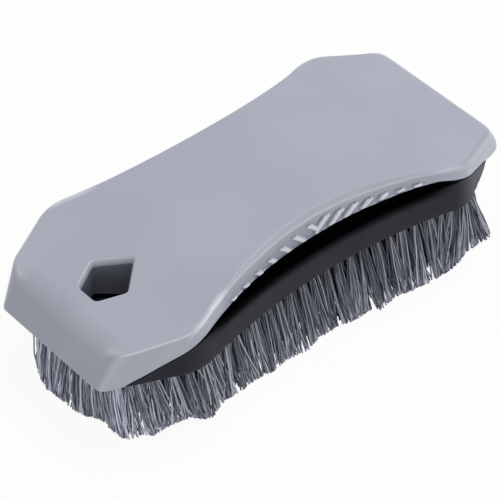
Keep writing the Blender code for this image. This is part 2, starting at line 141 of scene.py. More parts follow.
def ease(value):
    """A smooth step: 3v^2 - 2v^3 of the value held between 0 and 1."""
    value = np.clip(value, 0.0, 1.0)
    return value * value * (3.0 - 2.0 * value)


def rise(value, start, length):
    """0 up to a start, then easing to 1 over a length."""
    return ease((value - start) / length)


def shares(steps):
    """Even shares from 0 to 1, with both ends."""
    return np.linspace(0.0, 1.0, steps + 1)


def between(start, end, share):
    """The mix start * (1 - share) + end * share."""
    return start * (1 - share) + end * share


def arch(share):
    """0 at shares 0 and 1, and 1 in the middle: 4 * share * (1 - share)."""
    return 4 * share * (1 - share)


def read_at(x, pairs):
    """A table's value at x: straight lines between its (millimetre, value) pairs."""
    return np.interp(x / MM, *zip(*pairs))


def crown(x):
    """Height of the top face: a quadratic and quartic fall, and a slight sag at the near end."""
    s = (np.abs(x) / TOP_REACH) ** 2
    fall = ARCH_SHARE * s - (ARCH_SHARE - 1) * s * s
    sag = NEAR_SAG * rise(-x, *SAG_RISE)
    return TRIM_HEIGHT + CROWN_HEIGHT - (CROWN_HEIGHT - END_HEIGHT) * fall - sag


def rim(x):
    """Height of the rim: the smooth lesser of a level line and a line that falls to the ends."""
    fall = RIM_FALL_SHARE * (RIM_LANDS_AT - np.abs(x))
    blend = np.clip(0.5 + 0.5 * (fall - RIM_HEIGHT) / RIM_EASE, 0, 1)
    lower = between(fall, RIM_HEIGHT, blend) - RIM_EASE * blend * (1 - blend)
    return TRIM_HEIGHT + np.maximum(lower, 0.0)


print("top face from", round(float(crown(TOP_REACH)), 4), "to", round(float(crown(0.0)), 4))

# %% [markdown]
# Both mouldings share one plan: a waisted side, a bent corner at the widest place, a straight
# slant and a short end wall. One quarter is drawn and mirrored, so the two sides match as they do
# in a mould. The top's outer corners are bent more than the rim's, and more at the end with the
# hang hole. Every ring of a moulding has the same number of points, which lets rings be stacked
# into surfaces with no further thought.

# %% The plan, one ring of points
SIDE_STEPS = 176
WIDE_STEPS = 14
SLANT_STEPS = 26
END_STEPS = 12
WALL_STEPS = 20
CROSS_POWER = 1.4


def bend(start, corner, end, steps):
    """A quadratic curve of points or of whole rings: (1-t)^2 start + 2t(1-t) corner + t^2 end."""
    t = shares(steps).reshape(-1, *[1] * np.ndim(start))
    return (1 - t) ** 2 * start + 2 * t * (1 - t) * corner + t * t * end


def unit(vectors):
    """Vectors divided by their lengths."""
    return vectors / np.linalg.norm(vectors, axis=-1, keepdims=True)


def quarter_plan(reach, waist, widest_half, end_half, end_bend=END_BEND):
    """From the waist to the middle of the end wall: a parabola, two bends, lines between them."""
    along = np.linspace(0.0, WIDEST_AT - WIDE_BEND, SIDE_STEPS + 1)
    side = np.stack([along, waist + (widest_half - waist) * (along / WIDEST_AT) ** 2], 1)
    corner = np.array([WIDEST_AT, widest_half])
    end_corner = np.array([reach, end_half])
    slant = unit(end_corner - corner)
    wide = bend(side[-1], corner, corner + WIDE_BEND * slant, WIDE_STEPS)
    below = end_corner - (0.0, end_bend)
    end = bend(end_corner - end_bend * slant, end_corner, below, END_STEPS)
    slanted = between(wide[-1], end[0], shares(SLANT_STEPS)[1:-1, None])
    share = 1 - np.linspace(1.0, 0.0, WALL_STEPS + 1)[1:, None] ** CROSS_POWER
    wall = between(end[-1], np.array([reach, 0.0]), share)
    return np.concatenate([side, wide[1:], slanted, end, wall])


def full_plan(quarter, other=None):
    """The closed plan, counter-clockwise from the middle of the -Y side; other is the -X end's."""
    other = quarter if other is None else other
    near = quarter * (1.0, -1.0)
    turned = [near, quarter[::-1][1:], (other * (-1.0, 1.0))[1:], (-other)[::-1][1:-1]]
    return np.concatenate(turned)


def inset(plan, distance):
    """The plan moved in along the mitre of its two edge normals at each point."""
    edge = np.roll(plan, -1, 0) - plan
    normal = unit(np.stack([edge[:, 1], -edge[:, 0]], 1))
    before = np.roll(normal, 1, 0)
    mitre = (before + normal) / (1 + (before * normal).sum(1))[:, None]
    return plan - np.broadcast_to(distance, len(plan))[:, None] * mitre


def half_width_at(plan, x):
    """Half a plan's width at x, read from its -Y side."""
    side = plan[plan[:, 1] <= 0]
    side = side[np.argsort(side[:, 0])]
    return np.interp(x, side[:, 0], -side[:, 1])


def slant_half(reach):
    """Half width of the slanted side at a reach, on the line from widest corner to end."""
    return WIDEST_HALF - (WIDEST_HALF - END_HALF) * (reach - WIDEST_AT) / (RIM_REACH - WIDEST_AT)


RIM_PLAN = full_plan(quarter_plan(RIM_REACH, RIM_WAIST, WIDEST_HALF, END_HALF))
TOP_HALVES = np.array([RIM_WAIST, WIDEST_HALF, slant_half(TOP_REACH)]) - SIDE_DRAFT
TOP_PLAN = full_plan(*(quarter_plan(TOP_REACH, *TOP_HALVES, b) for b in (TOP_FAR_BEND, TOP_NEAR_BEND)))
BAND_PLAN = full_plan(quarter_plan(RIM_REACH, BAND_WAIST, WIDEST_HALF, END_HALF))
RIM_LEVEL = rim(RIM_PLAN[:, 0]) + read_at(RIM_PLAN[:, 0], RIM_SHIFTS) * MM
TOP_LEVEL = crown(TOP_PLAN[:, 0])
QUARTER = (len(RIM_PLAN) + 4) // 4
print("points in a ring:", len(RIM_PLAN))

# %% [markdown]
# A few helpers turn grids of points into meshes. A grid is an array of rows; its faces follow
# from index arithmetic, so no loop runs over vertices. Grids that meet along an edge have equal
# points there, and merging those points closes the surface.

# %% From grids to a mesh
WELD = 2e-6
SHARP_ANGLE = math.radians(38)


def ring(plan, level):
    """A plan lifted to a height, or to one height for each point."""
    return np.column_stack([plan, np.broadcast_to(level, len(plan))])


def grid_faces(rows, columns, closed):
    """Quads between neighbours, where point (r, c) has the index r * columns + c."""
    r, c = np.meshgrid(np.arange(rows - 1), np.arange(columns - (not closed)), indexing="ij")
    after = (c + 1) % columns
    row, above = r * columns, (r + 1) * columns
    return np.stack([row + c, row + after, above + after, above + c], -1).reshape(-1, 4)


def mesh_from_faces(name, points, faces):
    """A mesh from an array of points and an array of faces that all have as many corners."""
    mesh = bpy.data.meshes.new(name)
    mesh.vertices.add(len(points))
    mesh.vertices.foreach_set("co", points.astype(np.float32).ravel())
    mesh.loops.add(faces.size)
    mesh.polygons.add(len(faces))
    mesh.polygons.foreach_set("loop_start", np.arange(0, faces.size, faces.shape[1]))
    mesh.polygons.foreach_set("vertices", faces.astype(np.int32).ravel())
    mesh.update(calc_edges=True)
    return mesh


def moulding(name, grids):
    """One closed mesh from (grid, closed) pairs, welded, with its faces turned outwards."""
    points = []
    faces = []
    count = 0
    for grid, closed in grids:
        rows, columns = grid.shape[:2]
        faces.append(grid_faces(rows, columns, closed) + count)
        points.append(grid.reshape(-1, 3))
        count += rows * columns
    mesh = mesh_from_faces(name, np.concatenate(points), np.concatenate(faces))
    work = bmesh.new()
    work.from_mesh(mesh)
    bmesh.ops.remove_doubles(work, verts=work.verts, dist=WELD)
    bmesh.ops.recalc_face_normals(work, faces=work.faces)
    open_edges = sum(1 for edge in work.edges if not edge.is_manifold)
    work.to_mesh(mesh)
    work.free()
    mesh.shade_smooth()
    mesh.set_sharp_from_angle(angle=SHARP_ANGLE)
    print(name, "faces:", len(mesh.polygons), "open edges:", open_edges)
    return mesh


def vertex_values(mesh, label):
    """The three coordinates of every vertex, of its place or of its normal."""
    values = np.empty(len(mesh.vertices) * 3, np.float32)
    mesh.vertices.foreach_get(label, values)
    return values.reshape(-1, 3).astype(float).T


def carry(mesh, **marks):
    """Stores numbers on the mesh, one for each point, for its finish to read."""
    for label, values in marks.items():
        mark = mesh.attributes.new(label, "FLOAT", "POINT")
        mark.data.foreach_set("value", values.astype(np.float32))


def place(name, mesh, material, slot, *nodes):
    """Adds a finished piece, which rides on the body and stands for its nodes."""
    piece = add_object(name, mesh)
    mesh.materials.append(material)
    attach(piece, BODY)
    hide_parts(*nodes)


# %% [markdown]
# The hang hole is a pentagon whose point looks towards the middle of the brush. It runs through
# both mouldings, so its rings are made once here. A top or bottom face with this hole in it is
# laid in two grids: straight cross lines over most of the length, and near the hole a fan of
# lines from the hole's edge out to the plan. Each fan line keeps one bearing from the hole.

# %% The hang hole and the faces round it
HOLE_TIP_AT = -0.0496
HOLE_WIDE_AT = -0.0594
HOLE_BASE_AT = -0.0682
HOLE_WIDE_HALF = 0.0088
HOLE_BASE_HALF = 0.0042
HOLE_CORNER = 0.0012
HOLE_MIDDLE = (HOLE_TIP_AT + HOLE_BASE_AT) / 2
HOLE_CORNER_STEPS = 8
HOLE_EDGE_STEPS = 24
SPLIT_AT = 0.035
SPLIT = int(np.searchsorted(RIM_PLAN[:QUARTER, 0], SPLIT_AT))
FAN_STEPS = 22
FAN_EVEN = 0.25


def hole_plan():
    """The pentagon, counter-clockwise from its tip: straight edges, with a bend at each corner."""
    half = np.array([(HOLE_TIP_AT, 0.0), (HOLE_WIDE_AT, HOLE_WIDE_HALF), (HOLE_BASE_AT, HOLE_BASE_HALF)])
    corners = np.concatenate([half, half[:0:-1] * (1.0, -1.0)])
    edge = HOLE_CORNER * unit(np.roll(corners, -1, 0) - corners)
    starts = corners - np.roll(edge, 1, 0)
    ends = corners + edge
    share = shares(HOLE_EDGE_STEPS)[1:-1, None]
    points = []
    for start, corner, end, following in zip(starts, corners, ends, np.roll(starts, -1, 0)):
        points.append(bend(start, corner, end, HOLE_CORNER_STEPS))
        points.append(between(end, following, share))
    return np.concatenate(points)


HOLE_PLAN = hole_plan()


def cross_shares():
    """Shares of the way across, closer together by a power near the middle line."""
    way = np.linspace(-1.0, 1.0, 2 * WALL_STEPS + 1)
    return 0.5 + 0.5 * np.sign(way) * np.abs(way) ** CROSS_POWER


def fan_loop(plan):
    """The edge that the fan runs out to: one cross line, then the plan round the hole's end."""
    near = len(plan) - SPLIT
    far = 2 * QUARTER - 2 + SPLIT
    across = between(plan[near], plan[far], cross_shares()[:-1, None])
    return np.concatenate([across, plan[far:near]])


def bearings(loop):
    """The angle of each point as seen from the middle of the hole, rising all the way round."""
    return np.unwrap(np.arctan2(loop[:, 1], loop[:, 0] - HOLE_MIDDLE))


def fan_bearings(plan):
    """Bearings of the fan's lines, drawn a little towards even steps so that none meet."""
    own = bearings(fan_loop(plan))
    even = own[0] + np.arange(len(own)) * 2 * math.pi / len(own)
    return own + (even - own) * FAN_EVEN


def at_bearings(plan, angles):
    """Points of a closed plan at the given bearings, by interpolation between its own points."""
    own = bearings(plan)
    start = int(np.argmin(own % (2 * math.pi)))
    own = np.roll(own % (2 * math.pi), -start)
    points = np.roll(plan, -start, 0)
    own = np.concatenate([own, own[:1] + 2 * math.pi])
    points = np.concatenate([points, points[:1]])
    wanted = (angles - own[0]) % (2 * math.pi) + own[0]
    return np.stack([np.interp(wanted, own, points[:, axis]) for axis in (0, 1)], 1)


def holed_face(plan, hole, level):
    """The two grids of a face with the hang hole in it, lifted to a height that depends on x and y."""
    steps = np.arange(-SPLIT, QUARTER - WALL_STEPS)
    facing = plan[2 * QUARTER - 2 - steps]
    across = between(plan[steps][:, None], facing[:, None], cross_shares()[None, :, None])
    wall = plan[QUARTER - 1 - WALL_STEPS : QUARTER + WALL_STEPS]
    pull = np.clip((plan[steps, 0] - WIDEST_AT) / (plan[steps[-1], 0] - WIDEST_AT), 0, 1) ** 2
    across = across + pull[:, None, None] * (wall - across[-1])
    fan = between(hole[None], fan_loop(plan)[None], shares(FAN_STEPS)[:, None, None])
    lift = [np.concatenate([g, level(g[..., :1], g[..., 1:])], -1) for g in (across, fan)]
    return [(lift[0], False), (lift[1], True)]


print("points round the hole:", len(HOLE_PLAN), "fan lines:", len(fan_loop(TOP_PLAN)))

# %% [markdown]
# The grip is moulded into the two waisted side walls. The whole wall is sunk a little along the
# waist, and on it stands a row of ribs with level ends, which lean away from a V in the middle.
# It could be cut with many small solids. A height map is simpler: each point of the fine wall
# asks how far out it stands, and moves by that much. A rib is its foot's way from the V and the
# heights of its two ends over the rim, on the +X side (1) and on the -X side (-1).

# %% Relief of the finger grip
GRIP_AT = 0.0017
GRIP_REACH = 0.046
GRIP_FADE = 0.009
GRIP_SINK = 0.0006
GRIP_PROUD = 0.0003
GRIP_RIBS = {
    1: ((-1.9, 0.9, 5.8), (4.5, 1.1, 5.1), (10.4, 1.1, 4.7), (16.6, 1.4, 4.0), (22.8, 1.7, 3.3),
        (29.1, 1.9, 2.8), (35.3, 1.7, 2.4)),
    -1: ((-2.5, 0.9, 5.7), (4.4, 0.7, 4.9), (10.8, 0.7, 4.0), (17.3, 0.7, 3.0), (23.9, 0.6, 2.2),
         (30.5, 0.55, 1.6), (37.0, 0.4, 1.2)),
}
GRIP_HALF_WIDTHS = {1: 0.00088, -1: 0.00078}
GRIP_SOFT = 0.00022


def inside_rib(x, z, way, foot, low, high):
    """How far a point lies inside a rib that leans at 45 degrees and has level ends."""
    away = way * (x - GRIP_AT)
    height = z - rim(x)
    half = GRIP_HALF_WIDTHS[way]
    across = (away - foot * MM - height) * math.sqrt(0.5)
    ends = np.minimum(high * MM - height, height - low * MM)
    return np.minimum(np.minimum(half - np.abs(across), ends), away + half)


def on_ribs(x, z):
    """1 on a rib, easing to 0 round it, by the greatest of the distances inside the ribs."""
    inside = [inside_rib(x, z, way, *rib) for way, side in GRIP_RIBS.items() for rib in side]
    return ease(0.5 + np.max(inside, axis=0) / GRIP_SOFT)


def grip_band(x):
    """1 along the sunk waist wall, fading out towards its two ends."""
    return ease((GRIP_REACH - np.abs(x - GRIP_AT)) / GRIP_FADE)


def grip_relief(x, z):
    """How far a wall point stands out: less the sunk band, plus the highest rib over it."""
    return ((GRIP_SINK + GRIP_PROUD) * on_ribs(x, z) - GRIP_SINK) * grip_band(x)


# %% [markdown]
# The handle shell is one skin with an outside and an inside. From the rim the wall rises with
# its relief, turns through the edge round and runs over the arched top to the hang hole. There
# it drops down the sleeve, comes back up behind it, and crosses the hollow to the rim again.
# The edge round is tight on the waist and the near slants and larger at the far end. At the near
# end it is so wide that the top face itself falls away, as a square of the way into it. The far
# walls swell a little at half their height.

# %% Handle shell surfaces
WAIST_ROUND = 0.0013
SLANT_ROUND = 0.001
END_ROUND = 0.006
FAR_SLANT_ROUND = 0.0028
FAR_END_ROUND = 0.0022
ROUND_CHANGE = 0.012
END_CHANGE = 0.009
END_EARLY = 0.0012
END_DROP = 0.0013
FAR_BULGE = 0.0006
BULGE_RISE = (0.058, 0.012)
RIM_ROUND = 0.0003
RIM_SHARE = 0.3
INNER_CHAMFER = 0.0012
BEVEL_OUT = 0.0003
BEVEL_DROP = 0.0022
BEVEL_ROUND = 0.0003
CRISP = 0.00006
SLEEVE_IN = 0.0004
SLEEVE_WALL = 0.0018
SLEEVE_FOOT = 0.0021
WALL_ROWS = 36
ROUND_ROWS = 12
BEVEL_ROWS = 6
SLEEVE_ROWS = 12


def wall_plan(level, depth):
    """The side wall's plan at a height, moved in by a depth."""
    share = np.clip((level - RIM_LEVEL) / (TOP_LEVEL - RIM_LEVEL), 0, 1)[:, None]
    return inset(between(RIM_PLAN, TOP_PLAN, share), depth)


def end_share(y):
    """1 over most of an end wall's width, easing to 0 at its corners."""
    return ease((slant_half(TOP_REACH) + END_EARLY - np.abs(y)) / END_CHANGE)


def top_level(x, y):
    """The crown, less the soft near edge: the square of the way into it times its drop."""
    way = np.maximum(-x - TOP_REACH + END_ROUND, 0) / (END_ROUND - SLANT_ROUND)
    return crown(x) - END_DROP * way**2 * end_share(y)


def edge_rounds(near_end):
    """Size of the edge round: it changes from waist to slant to end wall, and from end to end."""
    x = np.abs(TOP_PLAN[:, 0])
    far = TOP_PLAN[:, 0] > 0
    slant = np.where(far, FAR_SLANT_ROUND, SLANT_ROUND)
    end = np.where(far, FAR_END_ROUND, near_end)
    slanted = ease((x - WIDEST_AT + ROUND_CHANGE) / ROUND_CHANGE)
    ended = end_share(TOP_PLAN[:, 1]) * (x > WIDEST_AT)
    return WAIST_ROUND + (slant - WAIST_ROUND) * slanted + (end - slant) * ended


def moved_out(row, distance):
    """A ring moved out, level, by a distance for each of its points."""
    return ring(inset(row[:, :2], -distance), row[:, 2])


def with_relief(row):
    """A ring of the wall moved out or in by the grip's relief."""
    return moved_out(row, grip_relief(row[:, 0], row[:, 2]) * (np.abs(row[:, 0]) < WIDEST_AT))


def shell_outside():
    """Rows from the rim's inner edge up to the top face: the rim, the wall as a blend of its lower
    and upper ring with relief and bulge, and the edge round as a quadratic curve."""
    size = edge_rounds(END_ROUND)
    edge = ring(TOP_PLAN, TOP_LEVEL)
    fall = ring(RIM_PLAN, RIM_LEVEL) - edge
    high = edge + unit(fall) * size[:, None]
    low = ring(RIM_PLAN, RIM_LEVEL + RIM_ROUND)
    rim_part = RIM_ROUND * RIM_SHARE
    rows = [
        ring(inset(RIM_PLAN, SHELL_WALL), RIM_LEVEL),
        ring(inset(RIM_PLAN, RIM_ROUND), RIM_LEVEL),
        ring(inset(RIM_PLAN, rim_part), RIM_LEVEL + rim_part),
    ]
    bulge = FAR_BULGE * rise(RIM_PLAN[:, 0], *BULGE_RISE)
    for share in shares(WALL_ROWS):
        row = with_relief(between(low, high, share))
        rows.append(moved_out(row, arch(share) * bulge))
    high, edge = with_relief(high), with_relief(edge)
    top_plan = inset(TOP_PLAN, edge_rounds(SLANT_ROUND))
    top = ring(top_plan, top_level(*top_plan.T))
    soft = end_share(TOP_PLAN[:, 1]) * (TOP_PLAN[:, 0] < -WIDEST_AT)
    control = edge + (high - edge) * (soft / 2)[:, None]
    return np.concatenate([rows, bend(high, control, top, ROUND_ROWS)[1:]]), top_plan


def shell_sleeve(angles):
    """Rows from the top face over the bevel, down the sleeve, and up again behind it."""
    corner = np.array([BEVEL_OUT, 0.0])
    foot = np.array([-SLEEVE_IN, BEVEL_DROP])
    slope = unit(foot - corner)
    rounded = bend(corner + (BEVEL_ROUND, 0.0), corner, corner + BEVEL_ROUND * slope, BEVEL_ROWS)
    profile = np.concatenate([rounded, [foot - CRISP * slope, foot + (0.0, CRISP)]])
    rows = []
    for out, depth in profile:
        plan = at_bearings(inset(HOLE_PLAN, -out), angles)
        rows.append(ring(plan, crown(plan[:, 0]) - depth))
    inner = at_bearings(inset(HOLE_PLAN, SLEEVE_IN), angles)
    outer = at_bearings(inset(HOLE_PLAN, -SLEEVE_WALL), angles)
    foot = TRIM_HEIGHT + SLEEVE_FOOT
    last = rows[-1]
    rows += [between(last, ring(inner, foot), share) for share in shares(SLEEVE_ROWS)[1:]]
    rows += [ring(outer, foot), ring(outer, crown(outer[:, 0]) - SHELL_WALL)]
    return np.stack(rows), outer


def shell_inside():
    """Rows from the rim's inner edge up the hollow's wall to its ceiling."""
    under = TOP_LEVEL - SHELL_WALL
    ceiling = wall_plan(under, SHELL_WALL + INNER_CHAMFER)
    rows = [
        ring(inset(RIM_PLAN, SHELL_WALL), RIM_LEVEL),
        ring(wall_plan(under - INNER_CHAMFER, SHELL_WALL), under - INNER_CHAMFER),
        ring(ceiling, crown(ceiling[:, 0]) - SHELL_WALL),
    ]
    return np.stack(rows), ceiling


# %% [markdown]
# The shell's finish has to know where it is. The ribs, the upper edges of the near slants, the
# near corners, the far walls and the hole's bevel are painted paler, as a painted highlight. A
# light line, also a painted highlight, runs along the waist over the ribs, and the wall above it
# is painted as light as the top. The wall next to a rib, the band under that line and a thin line
# on top of the far slants are painted darker, as painted shade. Painted pictures could say all
# this. Numbers at the mesh's points do it without one, and follow the shape by themselves. The
# line is a table of (place, height over the plain rim, strength).

# %% Marks for the shell's finish
GRIP_SHADE = (0.00055, 0.0004)
EDGE_SLOPES = ((-51, 0.8), (51, 0.75), (58, 0.9))
EDGE_SHARES = ((-58, 0.75), (-51, 0.0))
EDGE_SPREAD = 0.3
EDGE_SIDE = 0.4
EDGE_BELOW = 0.002
FAR_WALL = 0.32
FAR_DIM = 0.24
FAR_SLOPE = 0.8
FAR_RISE = (0.052, 0.01)
FAR_LOW = 0.7
FAR_DEPTH = 0.009
CORNER_TURN = 0.55
CORNER_SPREAD = 0.5
CORNER_SHARE = 0.4
BEVEL_FADE = 0.85
LINE = (
    (-58, 3.6, 0.4), (-52, 4.6, 0.8), (-42, 6.0, 0.9), (-30, 7.0, 0.85), (-15, 8.0, 0.75),
    (0, 8.3, 0.65), (13.5, 7.6, 0.6), (30, 6.2, 0.55), (46, 4.8, 0.5), (55, 3.9, 0.2),
)
LINE_WIDTH = 0.001
LINE_REACH = 0.0026
SUNK_SHADE = 0.26
SUNK_OVER = 0.0045
OVER_LINE = 0.24
OVER_REACH = 0.008


def upper_edge(x, normal, below):
    """How much a point lies on the upper edge of a side wall: a bell of its normal's slope."""
    bell = ease(1 - np.abs(normal[2] - read_at(x, EDGE_SLOPES)) / EDGE_SPREAD)
    return bell * ease(np.abs(normal[1]) / EDGE_SIDE) * (below < EDGE_BELOW)


def polished(x, normal, below):
    """How much painted highlight a near corner gets, by its normal's turn, or a far wall, by depth."""
    flat = np.hypot(normal[0], normal[1]) + WELD
    corner = ease(1 - np.abs(np.abs(normal[1]) / flat - CORNER_TURN) / CORNER_SPREAD)
    corner *= ease((flat - EDGE_SIDE) / EDGE_SIDE) * CORNER_SHARE * (x < 0)
    far = rise(x, *FAR_RISE) * ease((FAR_SLOPE - normal[2]) / EDGE_SPREAD) * FAR_WALL
    return np.maximum(corner, far * (1 - FAR_LOW * ease(below / FAR_DEPTH)))


def waist_line(x, y, z, normal):
    """Three shares on the waist's wall: its light line, a painted highlight; the painted shade under the
    line; and the painted light over it.
    """
    waist = half_width_at(RIM_PLAN, x)
    outwards = normal[1] * y > 0
    reached = (np.abs(y) > waist - LINE_REACH) & outwards & (np.abs(x) < -LINE[0][0] * MM)
    places, heights, strengths = zip(*LINE)
    under = np.interp(x / MM, places, heights) * MM + rim(x) - z
    line = ease(1 - np.abs(under) / LINE_WIDTH) * np.interp(x / MM, places, strengths) * reached
    sunk = ease(under / SUNK_OVER) * grip_band(x) * reached * SUNK_SHADE
    over = ease(0.5 - under / LINE_WIDTH) * ease((1 - normal[2]) / EDGE_SPREAD) * OVER_LINE
    return line, sunk, over * grip_band(x) * (np.abs(y) > waist - OVER_REACH) * outwards


def mark_shell(mesh):
    """How much each point is on a rib, in painted shade next to one or on the band, in painted shade down
    the hole, or in a painted highlight.
    """
    x, y, z = vertex_values(mesh, "co")
    normal = vertex_values(mesh, "normal")
    below = crown(x) - z
    on_wall = (np.abs(y) > half_width_at(RIM_PLAN, x) - GRIP_SINK * 2) & (np.abs(x) < WIDEST_AT)
    band = grip_band(x) * on_wall
    on_rib = on_ribs(x, z) * band
    across, down = GRIP_SHADE
    shaded = on_ribs(x + across, z - down) * band
    upper = upper_edge(x, normal, below)
    line, sunk, over = waist_line(x, y, z, normal)
    far_line = upper * rise(x, *FAR_RISE) * FAR_DIM
    # Painted shade next to each rib, on the sunk band and along the far slants' upper edge.
    beside = np.max([shaded, sunk, far_line], axis=0) * (1 - on_rib)
    edge = at_bearings(HOLE_PLAN, np.arctan2(y, x - HOLE_MIDDLE)) - (HOLE_MIDDLE, 0.0)
    out = np.hypot(x - HOLE_MIDDLE, y) - np.hypot(*edge.T)
    # Painted shade down the hole's sleeve.
    in_hole = 1.0 * ((out < -CRISP) & (below > BEVEL_DROP))
    # Painted highlight on the hole's bevel, strongest at its top.
    bevel = 1 - ease(below / BEVEL_DROP) * BEVEL_FADE
    # Painted highlight on the upper edges, near corners, far walls, bevel and waist line.
    worn = np.maximum(upper * read_at(x, EDGE_SHARES), polished(x, normal, below))
    worn = np.where((out < BEVEL_OUT) & (below > -CRISP), bevel, worn) * (1 - in_hole)
    worn = np.max([worn, line, over * (1 - upper)], axis=0)
    carry(mesh, on_rib=on_rib, beside_rib=beside, in_hole=in_hole, on_edge=worn)


# %% The shell's mesh
def build_shell():
    """All the shell's grids, welded into one closed skin."""
    outside, top_plan = shell_outside()
    inside, ceiling = shell_inside()
    angles = fan_bearings(top_plan)
    sleeve, sleeve_plan = shell_sleeve(angles)
    top = holed_face(top_plan, sleeve[0][:, :2], top_level)
    under = holed_face(ceiling, sleeve_plan, lambda x, y: crown(x) - SHELL_WALL)
    grids = [(outside, True), *top, (sleeve, True), (inside, True), *under]
    mesh = moulding("handle_shell_skin", grids)
    mark_shell(mesh)
    return mesh


# %% [markdown]
# The block shows three things: a side band, a rounded crease above it, and a scooped finger
# groove that runs in under the shell's rim. Its foot flares a little at the far slants. Towards
# the ends the block slips inside the shell, so each of its rings moves in behind the shell's wall
# where the rim comes down. At the far corners it turns in a little before that.

# %% Block surfaces
CREASE_ROUND = 0.0034
FOOT_FLARE = 0.001
FLARE_FROM = 0.048
FLARE_OVER = 0.008
GROOVE_DIP = 0.0062
GROOVE_SHARE = 0.72
GROOVE_CUT = 0.0024
GROOVE_OPENS = 4.0
GROOVE_SHADE_FROM = 0.0042
GROOVE_SHADE_OVER = 0.0036
GROOVE_SHADE_SHARE = 0.05
LEDGE_STEP = 0.00015
SLAB_TOP = 0.0075
RIB_RISE = 0.0026
RIB_WALL = 0.0012
FOOT_ROUND = 0.0005
TUCK_RISE = 0.0006
TUCK_LIFT = 0.0018
TURN_FROM = 0.0588
TURN_SLOPE = 4.0
TURN_OVER = 0.004
FOOT_ROWS = 3
BAND_ROWS = 10
CREASE_ROWS = 8
SCOOP_ROWS = 12


def block_outside():
    """Rows from the underside up the band, over the crease, and through the groove to the ledge.
    All bends are quadratic curves, and depths follow the gap between the band's plan and the rim's."""
    ledge = np.maximum(RIM_LEVEL - SEAT_GAP, TRIM_HEIGHT)
    crease = np.minimum(TRIM_HEIGHT + BAND_HEIGHT, ledge)
    depth = np.linalg.norm(BAND_PLAN - RIM_PLAN, axis=1)
    share = depth / depth.max()
    opened = ease(share * GROOVE_OPENS)
    deep = inset(RIM_PLAN, LEDGE_STEP + GROOVE_CUT * opened)
    edge = ring(BAND_PLAN, crease)
    floor = ring(between(BAND_PLAN, deep, GROOVE_SHARE), crease - GROOVE_DIP * share)
    below = edge - [0.0, 0.0, 1.0] * (CREASE_ROUND * share)[:, None]
    into = floor - edge
    reach = np.linalg.norm(into, axis=1)
    into *= (CREASE_ROUND * share / np.maximum(reach, CREASE_ROUND))[:, None]
    x = BAND_PLAN[:, 0]
    flare = FOOT_FLARE * ease((x - FLARE_FROM) / FLARE_OVER) * ease((RIM_LANDS_AT - x) / FLARE_OVER)
    foot_plan = inset(BAND_PLAN, -flare)
    low = ring(foot_plan, TRIM_HEIGHT + FOOT_ROUND)
    low[:, 2] = np.minimum(low[:, 2], below[:, 2])
    under = ring(inset(foot_plan, FOOT_ROUND), TRIM_HEIGHT)
    bottom = ring(deep, floor[:, 2])
    middle = (floor + bottom) / 2
    rows = [
        *bend(under, ring(foot_plan, TRIM_HEIGHT), low, FOOT_ROWS),
        *(between(low, below, way) for way in shares(BAND_ROWS)[1:]),
        *bend(below, edge, edge + into, CREASE_ROWS)[1:],
        *bend(edge + into, floor, middle, SCOOP_ROWS // 2)[1:],
        *bend(middle, bottom, ring(deep, ledge), SCOOP_ROWS)[1:],
        ring(wall_plan(ledge, SHELL_WALL + SEAT_GAP), ledge),
    ]
    return rows, ledge


def tuck_in(rows):
    """Moves rows in behind the shell's wall where its rim comes down, and at the far corners."""
    covered = 1 - ease((RIM_LEVEL - TRIM_HEIGHT - SEAT_GAP) / TUCK_RISE)
    tucked = []
    for i, row in enumerate(rows):
        lift = i / len(rows) * TUCK_LIFT * covered
        level = np.maximum(row[:, 2], TRIM_HEIGHT + lift)
        hidden = wall_plan(level, SHELL_WALL + SEAT_GAP)
        turn = row[:, 0] - TURN_FROM - TURN_SLOPE * (level - TRIM_HEIGHT)
        share = np.maximum(covered, ease(turn / TURN_OVER))
        tucked.append(ring(between(row[:, :2], hidden, share[:, None]), level))
    return tucked


def mark_groove(mesh):
    """The groove's painted shade: 0 on the band, rising to 1 below the crease, 1 further in."""
    x, y, z = vertex_values(mesh, "co")
    waist = half_width_at(BAND_PLAN, x)
    share = 1 - half_width_at(RIM_PLAN, x) / waist
    below = TRIM_HEIGHT + BAND_HEIGHT - z
    deep = ease((GROOVE_SHADE_FROM - below) / GROOVE_SHADE_OVER) * ease(share / GROOVE_SHADE_SHARE)
    inner = ease((waist - np.abs(y) - FOOT_ROUND) / GROOVE_CUT) * (share > 0)
    carry(mesh, in_groove=np.maximum(deep, inner))


def build_block():
    """All the block's grids, welded into one closed body with the hang hole through it."""
    rows, ledge = block_outside()
    rows = tuck_in(rows)
    slab = TRIM_HEIGHT + SLAB_TOP
    ceiling = TOP_LEVEL - SHELL_WALL - INNER_CHAMFER - SEAT_GAP
    rib_top = np.minimum(np.maximum(ledge, slab) + RIB_RISE, ceiling)
    rib_plan = wall_plan(rib_top, SHELL_WALL + SEAT_GAP)
    rib_inner = inset(rib_plan, RIB_WALL)
    rows += [ring(rib_plan, rib_top), ring(rib_inner, rib_top), ring(rib_inner, slab)]
    under_plan = rows[0][:, :2]
    angles = fan_bearings(under_plan)
    seat = TRIM_HEIGHT + SLEEVE_FOOT - SEAT_GAP
    narrow = at_bearings(HOLE_PLAN, angles)
    wide = at_bearings(inset(HOLE_PLAN, -SLEEVE_WALL - SEAT_GAP), angles)
    bore = [ring(narrow, TRIM_HEIGHT), ring(narrow, seat), ring(wide, seat), ring(wide, slab)]
    under = holed_face(under_plan, narrow, lambda x, y: x * 0 + TRIM_HEIGHT)
    over = holed_face(rib_inner, wide, lambda x, y: x * 0 + slab)
    grids = [(np.stack(rows), True), (np.stack(bore), True), *under, *over]
    mesh = moulding("brush_block_body", grids)
    mark_groove(mesh)
    return mesh


